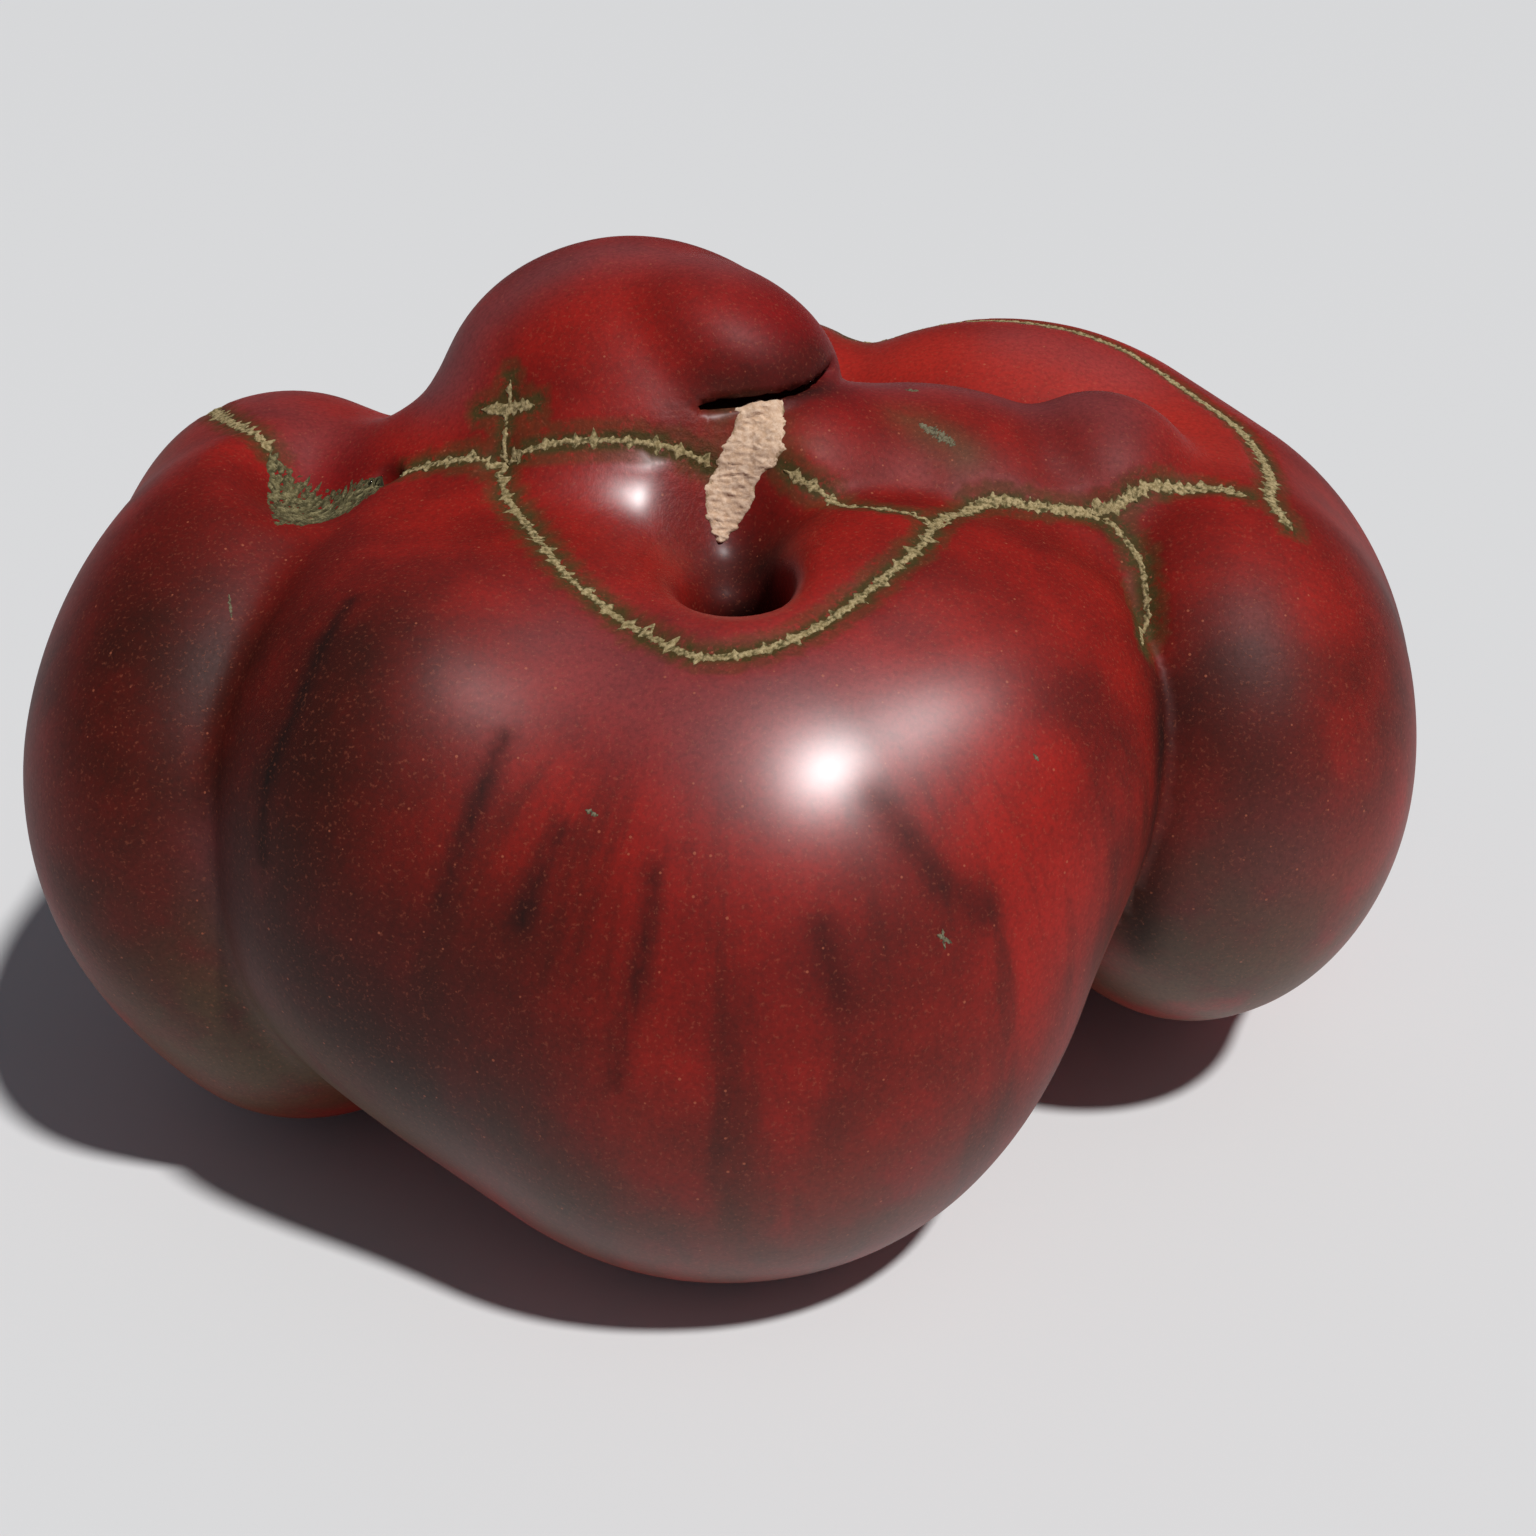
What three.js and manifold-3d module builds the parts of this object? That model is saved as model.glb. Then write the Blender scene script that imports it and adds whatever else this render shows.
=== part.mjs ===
// A large ribbed heirloom tomato, one solid fruit, picked and lying on the small flat spot that it rests on.
//
// The fruit grew from several flowers fused side by side, so it is a cluster of swollen lobes that
// melt into each other, with a deep pit where the lobes failed to close.
//
// Millimetres, +Z up. The origin is on the ground, under the middle of the fruit. -Y is the front.

import * as THREE from "three";
import { mergeVertices } from "three/addons/utils/BufferGeometryUtils.js";
import Module from "manifold-3d";

// ---------------------------------------------------------------- driving dimensions

const CELL = 3.7; // size of the grid cells that the skin is cut from
const REACH = { x: 84, y: 72, low: -8, high: 96 }; // the grid's half width, half depth, floor and ceiling
const FLAT_SPOT_CUT = 1.2; // how much of the underside the resting place takes off
const SKIN_COLOUR = 0x6b1a1a;

// Each lobe is an ellipsoid: its centre, its half-axes, how it is turned about Z and then tipped
// about X and Y, in degrees, and how softly it melts into the lobes before it.
const LOBES = [
  { name: "heart", at: [-3, 8, 32], size: [46, 40, 32], melt: 0 },
  { name: "front", at: [0.5, -26, 38.5], size: [32.5, 28, 27], melt: 8 },
  { name: "front foot", at: [-3, -30, 28.5], size: [31, 26, 28.5], melt: 8 },
  { name: "front left", at: [-27.5, -23, 39], size: [23, 24, 28.5], turn: [0, 0, -8], melt: 8 },
  { name: "front right", at: [17, -15, 46], size: [19, 23, 19.5], melt: 8 },
  { name: "lip", at: [-35, -12, 48], size: [15, 14, 17], melt: 6 },
  { name: "left", at: [-50, -1, 42], size: [20, 35, 27], turn: [-8, 9, 5], melt: 2 },
  { name: "left foot", at: [-45, -6, 27], size: [22, 28, 26], melt: 8 },
  { name: "left shoulder", at: [-49.5, 18, 46], size: [18.5, 20, 20.5], melt: 2 },
  { name: "right", at: [41, 0, 37], size: [24, 28, 29], melt: 2 },
  { name: "back right", at: [46, 17, 33.5], size: [25, 30, 33], turn: [0, 0, -12], melt: 4 },
  { name: "back", at: [27, 30, 41], size: [33, 26, 30], melt: 4 },
  { name: "back left", at: [-25, 30, 32], size: [32, 26, 27], melt: 4 },
  { name: "back middle", at: [-1, 36, 48], size: [23, 20, 22], melt: 3 },
  { name: "crown", at: [-11.5, 13, 65.5], size: [21, 20, 18.5], turn: [0, 0, 16], melt: 3 },
  { name: "crown tip", at: [-0.5, 7, 74], size: [10, 10, 6.5], turn: [0, 0, 28], melt: 3 },
  { name: "crown apron", at: [-17, 2, 57], size: [23, 14, 15], melt: 6 },
  { name: "bridge", at: [-33, 12, 56], size: [14, 14, 10], melt: 6 },
  { name: "saddle", at: [19, 6, 54], size: [24, 17, 18], turn: [0, 0, 18], melt: 3 },
  { name: "saddle end", at: [32, 8, 52], size: [15, 16, 19], melt: 2 },
  { name: "left cheek", at: [-16, -16, 58], size: [14, 15, 11], melt: 4 },
  { name: "right cheek", at: [10, -15, 58], size: [13, 14, 10.5], melt: 4 },
];

// Hollows pressed into the fruit, as ellipsoids like the lobes.
const HOLLOWS = [
  { name: "pit", at: [-2, -24.5, 65], size: [4.2, 3.8, 13], melt: 5 },
  { name: "valley", at: [-4, -15, 70], size: [3, 9, 6], turn: [10, 12, 0], melt: 4 },
  { name: "left hollow", at: [-39, 1, 68], size: [8, 5, 8], turn: [-15, 0, 0], melt: 5 },
];

// ---------------------------------------------------------------- the skin as a field

/** Gives a lobe or hollow its vectors, so that the field can be read quickly. */
function prepare(shape) {
  const [yaw, tipX, tipY] = (shape.turn ?? [0, 0, 0]).map(THREE.MathUtils.degToRad);
  const turn = new THREE.Quaternion().setFromEuler(new THREE.Euler(tipX, tipY, yaw, "ZYX"));
  return {
    centre: new THREE.Vector3(...shape.at),
    size: new THREE.Vector3(...shape.size),
    unturn: turn.invert(),
    melt: shape.melt,
  };
}

const scaled = new THREE.Vector3();

/** Distance from a point to an ellipsoid, close to the true one near its surface, negative inside. */
function distance(point, shape) {
  scaled.copy(point).sub(shape.centre).applyQuaternion(shape.unturn).divide(shape.size);
  const reach = scaled.length();
  const slope = scaled.divide(shape.size).length();
  return slope > 0 ? (reach * (reach - 1)) / slope : -Math.min(...shape.size);
}

/** The smaller of two distances, rounded off over a width where they are close. */
function meltTogether(a, b, width) {
  const overlap = Math.max(width - Math.abs(a - b), 0) / Math.max(width, 1e-6);
  return Math.min(a, b) - (overlap * overlap * width) / 4;
}

const lobes = LOBES.map(prepare);
const hollows = HOLLOWS.map(prepare);

/** The fruit's field at a point: negative in the flesh, zero on the skin. */
function field(point) {
  let depth = distance(point, lobes[0]);
  for (const lobe of lobes.slice(1)) depth = meltTogether(depth, distance(point, lobe), lobe.melt);
  for (const hollow of hollows) depth = -meltTogether(-depth, distance(point, hollow), hollow.melt);
  return depth;
}

// ---------------------------------------------------------------- the skin as a mesh

/** The corners of a grid cell, and its twelve edges as pairs of corners. */
const CORNERS = [...Array(8).keys()].map((n) => [n & 1, (n >> 1) & 1, (n >> 2) & 1]);
const EDGES = CORNERS.flatMap((_, a) => [1, 2, 4].filter((bit) => !(a & bit)).map((bit) => [a, a | bit]));

/** Moves a point onto the skin along the field's slope. */
function settle(point) {
  const probe = 0.05;
  const slope = new THREE.Vector3();
  for (let step = 0; step < 4; step++) {
    const here = field(point);
    for (const axis of ["x", "y", "z"]) {
      const beside = point.clone();
      beside[axis] += probe;
      slope[axis] = (field(beside) - here) / probe;
    }
    point.addScaledVector(slope, -here / Math.max(slope.lengthSq(), 0.1));
  }
  return point;
}

/** A closed mesh of the skin: one vertex in each cell that the skin passes through, and one
 *  quad across each grid edge that it crosses. */
function skinGeometry() {
  const counts = [2 * REACH.x, 2 * REACH.y, REACH.high - REACH.low].map((span) => Math.ceil(span / CELL) + 1);
  const [nx, ny, nz] = counts;
  const index = (i, j, k) => i + nx * (j + ny * k);
  const place = (i, j, k) => new THREE.Vector3(i * CELL - REACH.x, j * CELL - REACH.y, k * CELL + REACH.low);

  const values = new Float64Array(nx * ny * nz);
  for (let k = 0; k < nz; k++)
    for (let j = 0; j < ny; j++)
      for (let i = 0; i < nx; i++) values[index(i, j, k)] = field(place(i, j, k));

  const vertexOf = new Map();
  const positions = [];
  for (let k = 0; k < nz - 1; k++)
    for (let j = 0; j < ny - 1; j++)
      for (let i = 0; i < nx - 1; i++) {
        const corner = CORNERS.map(([a, b, c]) => values[index(i + a, j + b, k + c)]);
        const crossed = EDGES.filter(([a, b]) => corner[a] < 0 !== corner[b] < 0);
        if (!crossed.length) continue;
        const middle = new THREE.Vector3();
        for (const [a, b] of crossed) {
          const share = corner[a] / (corner[a] - corner[b]);
          const from = place(i + CORNERS[a][0], j + CORNERS[a][1], k + CORNERS[a][2]);
          const to = place(i + CORNERS[b][0], j + CORNERS[b][1], k + CORNERS[b][2]);
          middle.add(from.lerp(to, share));
        }
        settle(middle.divideScalar(crossed.length));
        vertexOf.set(index(i, j, k), positions.length / 3);
        positions.push(middle.x, middle.y, middle.z);
      }

  const triangles = [];
  const strides = [1, nx, nx * ny];
  for (let k = 1; k < nz - 1; k++)
    for (let j = 1; j < ny - 1; j++)
      for (let i = 1; i < nx - 1; i++)
        strides.forEach((along, axis) => {
          const here = index(i, j, k);
          const inside = values[here] < 0;
          if (inside === values[here + along] < 0) return;
          const u = strides[(axis + 1) % 3];
          const v = strides[(axis + 2) % 3];
          const ring = [here, here - u, here - u - v, here - v].map((cell) => vertexOf.get(cell));
          if (!inside) ring.reverse();
          triangles.push(ring[0], ring[1], ring[2], ring[0], ring[2], ring[3]);
        });

  const geometry = new THREE.BufferGeometry();
  geometry.setAttribute("position", new THREE.Float32BufferAttribute(positions, 3));
  geometry.setIndex(triangles);
  return geometry;
}

// ---------------------------------------------------------------- cutting the flat spot

const wasm = await Module();
wasm.setup();

/** A closed three.js geometry as a manifold-3d solid. */
function solidOf(geometry) {
  const bare = geometry.clone();
  for (const name of ["normal", "uv"]) bare.deleteAttribute(name);
  const merged = mergeVertices(bare);
  return new wasm.Manifold(
    new wasm.Mesh({
      numProp: 3,
      vertProperties: new Float32Array(merged.attributes.position.array),
      triVerts: new Uint32Array(merged.index.array),
    }),
  );
}

/** A manifold-3d solid as a three.js geometry. */
function geometryOf(solid) {
  const mesh = solid.getMesh();
  const geometry = new THREE.BufferGeometry();
  geometry.setAttribute("position", new THREE.BufferAttribute(mesh.vertProperties, 3));
  geometry.setIndex(new THREE.BufferAttribute(mesh.triVerts, 1));
  geometry.computeVertexNormals();
  return geometry;
}

/** The ground under the fruit, as a block whose top is where the flat spot is cut. */
function groundBlock(top) {
  const depth = 40;
  return new THREE.BoxGeometry(4 * REACH.x, 4 * REACH.y, depth).translate(0, 0, top - depth / 2);
}

/** The whole fruit, with the origin in its flat spot, under the middle of its box. */
function fruitGeometry() {
  const skin = skinGeometry();
  skin.computeBoundingBox();
  const middle = skin.boundingBox.getCenter(new THREE.Vector3());
  const ground = skin.boundingBox.min.z + FLAT_SPOT_CUT;
  const cut = geometryOf(solidOf(skin).subtract(solidOf(groundBlock(ground))));
  return cut.translate(-middle.x, -middle.y, -ground);
}

const tomato = new THREE.Group();
const skinMaterial = new THREE.MeshStandardMaterial({ color: SKIN_COLOUR, roughness: 0.32, metalness: 0 });
const fruit = new THREE.Mesh(fruitGeometry(), skinMaterial);
fruit.name = "fruit";
tomato.add(fruit);

export default tomato;
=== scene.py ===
"""A large fused heirloom tomato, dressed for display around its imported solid.

The fruit is one piece: swollen lobes that melt together, a knob-like crown, a deep pit, and the
corky seams that the flower left behind. The fruit's own sizes are in millimetres, in the frame's
axes, and whatever Blender places is in metres.
"""

import logging
import math
from dataclasses import dataclass, field
from enum import Enum

import bpy
import numpy as np
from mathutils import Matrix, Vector, noise
from mathutils.bvhtree import BVHTree


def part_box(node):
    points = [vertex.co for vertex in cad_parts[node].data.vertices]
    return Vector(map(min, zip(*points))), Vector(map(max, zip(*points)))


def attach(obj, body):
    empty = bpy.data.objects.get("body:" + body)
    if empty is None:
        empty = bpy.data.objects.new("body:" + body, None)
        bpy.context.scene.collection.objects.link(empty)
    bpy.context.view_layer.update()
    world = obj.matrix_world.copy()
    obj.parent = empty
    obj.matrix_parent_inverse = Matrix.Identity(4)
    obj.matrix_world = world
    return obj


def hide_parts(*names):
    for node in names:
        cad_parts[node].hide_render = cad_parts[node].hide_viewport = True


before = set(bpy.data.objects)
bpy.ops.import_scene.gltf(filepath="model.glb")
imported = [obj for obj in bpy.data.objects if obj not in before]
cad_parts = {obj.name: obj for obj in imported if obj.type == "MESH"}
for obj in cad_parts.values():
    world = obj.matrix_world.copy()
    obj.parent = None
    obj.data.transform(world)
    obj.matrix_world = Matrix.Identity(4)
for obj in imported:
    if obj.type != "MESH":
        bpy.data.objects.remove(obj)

MM = 0.001
SOLID = "fruit"
BODY = "root"
LOG = logging.getLogger("tomato")

Point = tuple[float, float, float]
Colour = tuple[float, float, float, float]


def tint(red: int, green: int, blue: int) -> Colour:
    """Turns a colour off a paint chart into the linear colour that a shader takes.

    Args:
        red: The red part, 0 to 255.
        green: The green part, 0 to 255.
        blue: The blue part, 0 to 255.

    Returns:
        The colour with a full alpha.
    """
    parts = [value / 255 for value in (red, green, blue)]
    linear = [p / 12.92 if p <= 0.04045 else ((p + 0.055) / 1.055) ** 2.4 for p in parts]
    return (*linear, 1.0)


def unit(vectors: np.ndarray) -> np.ndarray:
    """Scales each row to a length of one.

    Args:
        vectors: Rows of three numbers.

    Returns:
        The rows, each one long.
    """
    return vectors / np.maximum(np.linalg.norm(vectors, axis=-1, keepdims=True), 1e-9)


def ramp(values: np.ndarray, low: float, high: float) -> np.ndarray:
    """Rises smoothly from 0 at low to 1 at high.

    Args:
        values: Any numbers.
        low: Where the rise starts.
        high: Where it ends.

    Returns:
        Numbers from 0 to 1.
    """
    share = np.clip((values - low) / (high - low), 0, 1)
    return share * share * (3 - 2 * share)


def smoothed(rows: np.ndarray, width: int) -> np.ndarray:
    """Evens out numbers along the first axis.

    Args:
        rows: Rows of numbers.
        width: How many rows are averaged, an odd number.

    Returns:
        The averaged rows.
    """
    padded = np.pad(rows, ((width // 2, width // 2), (0, 0)), "edge")
    box = np.ones(width) / width
    return np.stack([np.convolve(column, box, "valid") for column in padded.T], axis=1)


# ------------------------------------------------------------------------------------- lines


class Route:
    """A smooth line through a few points, with stations at even steps along it."""

    def __init__(self, points: list[Point], step: float) -> None:
        """Draws the line.

        Args:
            points: What the line passes through, in millimetres. One point alone is a spot.
            step: The distance between stations, in millimetres.
        """
        knots = np.array(points, float)
        if len(knots) == 1:
            knots = np.repeat(knots, 2, axis=0)
        padded = np.vstack([2 * knots[0] - knots[1], knots, 2 * knots[-1] - knots[-2]])
        share = np.linspace(0, 1, 24, endpoint=False)[:, None]
        pieces = []
        for a, b, c, d in zip(padded, padded[1:], padded[2:], padded[3:]):
            bend = (2 * a - 5 * b + 4 * c - d) * share**2 + (3 * b - a - 3 * c + d) * share**3
            pieces.append(0.5 * (2 * b + (c - a) * share + bend))
        fine = np.vstack([*pieces, knots[-1:]])
        run = np.concatenate([[0], np.cumsum(np.linalg.norm(np.diff(fine, axis=0), axis=1))])
        count = max(round(run[-1] / step), 1)
        self.along = np.linspace(0, run[-1], count + 1)
        self.places = np.stack([np.interp(self.along, run, fine[:, k]) for k in range(3)], axis=1)

    def distance(self, points: np.ndarray, reach: float) -> np.ndarray:
        """Measures how far points are from the line.

        Args:
            points: Rows of places, in millimetres.
            reach: Past this distance the answer is only known to be larger.

        Returns:
            One distance for each point, in millimetres.
        """
        found = np.full(len(points), 10 * reach)
        low, high = self.places.min(0) - reach, self.places.max(0) + reach
        near = np.nonzero(((points > low) & (points < high)).all(axis=1))[0]
        for start in range(0, len(near), 20000):
            part = near[start : start + 20000]
            gaps = points[part, None, :] - self.places[None, :, :]
            found[part] = np.sqrt((gaps**2).sum(-1).min(1))
        return found


# ------------------------------------------------------------------------------------- flesh


@dataclass(frozen=True)
class Lobe:
    """A swelling of the fruit, or a hollow in it: an ellipsoid, in millimetres and degrees."""

    name: str
    at: Point
    size: Point
    melt: float
    turn: Point = (0, 0, 0)
    carved: bool = False

    def distance(self, points: np.ndarray) -> np.ndarray:
        """Measures how far points are outside the lobe.

        Args:
            points: Rows of places.

        Returns:
            One distance for each point, negative inside.
        """
        yaw, tip_x, tip_y = (math.radians(angle) for angle in self.turn)
        c, s = math.cos(yaw), math.sin(yaw)
        spin = np.array([[c, -s, 0], [s, c, 0], [0, 0, 1]])
        c, s = math.cos(tip_y), math.sin(tip_y)
        roll = np.array([[c, 0, s], [0, 1, 0], [-s, 0, c]])
        c, s = math.cos(tip_x), math.sin(tip_x)
        nod = np.array([[1, 0, 0], [0, c, -s], [0, s, c]])
        scaled = ((points - np.array(self.at)) @ (spin @ roll @ nod)) / np.array(self.size)
        reach = np.linalg.norm(scaled, axis=-1)
        slope = np.maximum(np.linalg.norm(scaled / np.array(self.size), axis=-1), 1e-9)
        return reach * (reach - 1) / slope


def melt_together(a: np.ndarray, b: np.ndarray, width: float) -> np.ndarray:
    """Takes the smaller of two distances, rounded off where they are close.

    Args:
        a: Distances to one body.
        b: Distances to the other.
        width: How close they are where the rounding starts.

    Returns:
        The distances to the two bodies as one.
    """
    overlap = np.maximum(width - np.abs(a - b), 0) / max(width, 1e-6)
    return np.minimum(a, b) - overlap * overlap * width / 4


@dataclass(frozen=True)
class Swelling:
    """Lobes that grow into one another, and how widely the whole of them melts into the rest."""

    name: str
    melt: float
    lobes: tuple[Lobe, ...]

    def depth(self, points: np.ndarray) -> np.ndarray:
        """Reads the swelling's own field.

        Args:
            points: Rows of places, in millimetres.

        Returns:
            One value for each point, negative in the flesh.
        """
        value = self.lobes[0].distance(points)
        for lobe in self.lobes[1:]:
            value = merged(value, lobe, points)
        return value


def merged(value: np.ndarray, lobe: Lobe, points: np.ndarray) -> np.ndarray:
    """Adds a lobe to a field, or carves it out.

    Args:
        value: The field so far.
        lobe: The lobe.
        points: Rows of places, in millimetres.

    Returns:
        The field with the lobe in it.
    """
    grown = lobe.distance(points)
    if lobe.carved:
        return -melt_together(-value, grown, lobe.melt)
    return melt_together(value, grown, lobe.melt)


CROWN = Lobe("crown", (-11.5, 13, 66), (21, 20, 18.8), 0, (0, 0, 16))


@dataclass(frozen=True)
class Flesh:
    """The fruit's body as a field: negative in the flesh and zero on the skin."""

    swellings: tuple[Swelling, ...] = (
        Swelling("front", 0, (
            Lobe("heart", (-3, 8, 32), (46, 40, 32), 0),
            Lobe("front", (0, -25, 39), (32.5, 25.5, 27), 8),
            Lobe("front foot", (-3, -30, 28.5), (31, 26, 28.5), 8),
            Lobe("front left", (-27.5, -23, 39), (23, 24, 28.5), 8, (0, 0, -8)),
            Lobe("front right", (19, -15, 47), (19.8, 22, 19.5), 8),
            Lobe("lip", (-35, -12, 48), (15, 14, 17), 6),
            Lobe("left brow", (-31, -6, 58.5), (10, 9, 8.5), 4, (20, 0, 0)),
            Lobe("left cheek", (-20, -15, 56.5), (13, 15, 10.5), 5),
            Lobe("right cheek", (10, -15, 58), (13, 14, 10.5), 4),
        )),
        Swelling("left", 2, (
            Lobe("left", (-50, -1, 42), (20, 35, 27), 0, (-8, 9, 5)),
            Lobe("left foot", (-45, -6, 27), (22, 28, 26), 8),
            Lobe("left shoulder", (-50, 18, 46.4), (17.6, 20, 20.5), 6),
            Lobe("bridge", (-33, 12, 55), (14, 14, 10), 6),
            Lobe("left hollow", (-42, -1, 73), (8, 10, 10), 4, (-15, 0, 0), True),
        )),
        Swelling("right", 0.4, (
            Lobe("right", (44.5, 0, 37), (22, 27.5, 29), 0),
            Lobe("back right", (46, 17, 33.5), (25, 30, 33), 4, (0, 0, -12)),
        )),
        Swelling("back", 4, (
            Lobe("back", (27, 30, 41), (33, 26, 30), 0),
            Lobe("back left", (-25, 30, 32), (32, 26, 27), 4),
            Lobe("back middle", (-1, 36, 48), (23, 20, 22), 3),
        )),
        Swelling("crown", 5, (CROWN,)),
        Swelling("saddle", 2, (
            Lobe("saddle", (19, 6, 54), (24, 17, 18), 0, (0, 0, 18)),
            Lobe("saddle end", (33.5, 6.5, 53), (13.5, 14, 19), 2),
            Lobe("saddle root", (4.2, 2, 59.5), (12.5, 13, 15.3), 4),
            Lobe("junction", (28, -6, 56), (10, 9, 8), 5),
        )),
        Swelling("apron", 6, (
            Lobe("crown apron", (-17, 4.5, 57), (22, 18, 15.3), 0),
            Lobe("crown hip", (-30, 7, 61), (10, 9, 8.5), 5),
            Lobe("crown root", (-19, 24, 50), (20, 15, 17), 6),
        )),
        Swelling("crown tip", 0.35, (
            CROWN,
            Lobe("crown tip", (-1.5, 6.2, 77), (10, 9, 6.2), 4, (0, 0, 30)),
        )),
    )
    hollows: tuple[Lobe, ...] = (
        Lobe("valley", (-2.2, -14, 68), (3.4, 6.5, 7), 6, (0, 10, 0), True),
        Lobe("pit", (-1.6, -18.5, 58), (4.6, 4.4, 14), 4.5, (0, 30, 0), True),
        Lobe("fold", (0.5, 1.1, 75), (8, 3.4, 0.8), 0.8, (27, 0, -4), True),
        Lobe("left pore", (-35.6, -1.2, 67), (1.6, 1.4, 3.5), 0.8, (0, 0, 0), True),
        Lobe("stem end", (-3, 8.5, -1.5), (9, 8, 4), 3, (0, 0, 0), True),
    )

    def depth(self, points: np.ndarray) -> np.ndarray:
        """Reads the field.

        Args:
            points: Rows of places, in millimetres.

        Returns:
            One value for each point.
        """
        value = self.swellings[0].depth(points)
        for swelling in self.swellings[1:]:
            value = melt_together(value, swelling.depth(points), swelling.melt)
        for hollow in self.hollows:
            value = merged(value, hollow, points)
        return value

    def slope(self, points: np.ndarray) -> np.ndarray:
        """Finds which way the field rises.

        Args:
            points: Rows of places, in millimetres.

        Returns:
            The gradient at each point.
        """
        probe = 0.05
        axes = np.eye(3) * probe
        sides = [self.depth(points + axis) - self.depth(points - axis) for axis in axes]
        return np.stack(sides, axis=1) / (2 * probe)

    def settle(self, points: np.ndarray, furthest: float) -> np.ndarray:
        """Moves points onto the skin.

        Args:
            points: Rows of places near the skin, in millimetres.
            furthest: The longest step that a point may take at once.

        Returns:
            The places on the skin.
        """
        for _ in range(3):
            rise = self.slope(points)
            steps = rise * (-self.depth(points) / np.maximum((rise**2).sum(1), 0.1))[:, None]
            size = np.maximum(np.linalg.norm(steps, axis=1, keepdims=True), 1e-9)
            points = points + steps * np.minimum(1, furthest / size)
        return points


class Net:
    """A closed net of four-sided faces over the skin of a body of flesh."""

    REACH = (84.0, 72.0, -8.0, 96.0)

    def __init__(self, flesh: Flesh, cell: float) -> None:
        """Reads the field on a grid and lays the net over it.

        Args:
            flesh: The body to cover.
            cell: The size of the grid's cells, in millimetres.
        """
        wide, deep, low, high = self.REACH
        block = 4
        spans = ((-wide, wide), (-deep, deep), (low, high))
        counts = [math.ceil((end - start) / (cell * block)) * block for start, end in spans]
        axes = [start + cell * np.arange(count) for (start, _), count in zip(spans, counts)]
        coarse = [axis.reshape(-1, block).mean(axis=1) for axis in axes]
        middles = np.stack(np.meshgrid(*coarse, indexing="ij"), axis=-1).reshape(-1, 3)
        values = flesh.depth(middles).reshape([len(axis) for axis in coarse])
        for axis in range(3):
            values = np.repeat(values, block, axis=axis)
        near = np.argwhere(np.abs(values) < 2 * block * cell)
        corners = np.stack([axes[k][near[:, k]] for k in range(3)], axis=1)
        values[tuple(near.T)] = flesh.depth(corners)
        self.origin = np.array([axis[0] for axis in axes])
        self.points, number = self._middles(values, cell)
        self.faces = self._faces(values < 0, number)
        self.points = flesh.settle(self._relaxed(), cell / 2)

    def _middles(self, values: np.ndarray, cell: float) -> tuple[np.ndarray, np.ndarray]:
        """Puts a point in each cell that the skin passes through.

        Args:
            values: The field on the grid.
            cell: The size of a cell.

        Returns:
            The points, and each cell's number in that list or -1.
        """
        cells = tuple(count - 1 for count in values.shape)
        total = np.zeros((*cells, 3))
        hits = np.zeros(cells, int)
        for axis in range(3):
            near = np.take(values, range(cells[axis]), axis)
            far = np.take(values, range(1, cells[axis] + 1), axis)
            where = np.argwhere((near < 0) != (far < 0))
            picked = tuple(where.T)
            place = where.astype(float)
            place[:, axis] += near[picked] / (near[picked] - far[picked])
            others = [k for k in range(3) if k != axis]
            for shift in ((0, 0), (0, 1), (1, 0), (1, 1)):
                home = where.copy()
                home[:, others] -= shift
                np.add.at(total, tuple(home.T), place)
                np.add.at(hits, tuple(home.T), 1)
        full = hits > 0
        number = np.full(cells, -1)
        number[full] = np.arange(full.sum())
        return self.origin + cell * total[full] / hits[full][:, None], number

    @staticmethod
    def _faces(inside: np.ndarray, number: np.ndarray) -> np.ndarray:
        """Joins the points of the four cells around each grid edge that the skin crosses.

        Args:
            inside: Whether each grid point is in the flesh.
            number: Each cell's point, from _middles.

        Returns:
            Rows of four point numbers, wound so that the faces look outwards.
        """
        rings = []
        for axis in range(3):
            order = [axis, (axis + 1) % 3, (axis + 2) % 3]
            flags, cells = inside.transpose(order), number.transpose(order)
            first, second = flags[:-1, 1:-1, 1:-1], flags[1:, 1:-1, 1:-1]
            for leaving in (True, False):
                i, j, k = np.nonzero((first == leaving) & (second != leaving))
                ring = [cells[i, j, k], cells[i, j + 1, k], cells[i, j + 1, k + 1], cells[i, j, k + 1]]
                rings.append(np.stack(ring if leaving else ring[::-1], axis=1))
        return np.concatenate(rings)

    def _relaxed(self) -> np.ndarray:
        """Evens out the net by moving each point half way to the middle of its neighbours."""
        total = np.zeros_like(self.points)
        count = np.zeros(len(self.points))
        for a, b in zip(self.faces.T, np.roll(self.faces, -1, axis=1).T):
            for start, end in ((a, b), (b, a)):
                np.add.at(total, start, self.points[end])
                np.add.at(count, start, 1)
        return 0.5 * self.points + 0.5 * total / count[:, None]


# -------------------------------------------------------------------------------- stains and seams


class StainAndPaintedLight(Enum):
    """What strokes put on the skin: stains, painted shade, a painted sheen, gloss and fine wrinkles. Each
    value is the name of the mesh's own layer.
    """

    # dark streaks, and painted shade in the pit, under the crown tip, in the left pore, in the cleft and
    # beside the front crease
    DARK = "dark"
    OLIVE = "olive"
    CRIMSON = "crimson"
    HALO = "halo"
    CRAZED = "crazed"
    POLISH = "polish"
    # brown patches, and painted shade under the crown tip, in the pit and in the creases beside the front
    # lobe
    BROWN = "brown"
    # painted sheen: a pale purplish reflection on the rims and round the front highlight
    BLOOM = "painted_sheen"
    BRIGHT = "bright"


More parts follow.
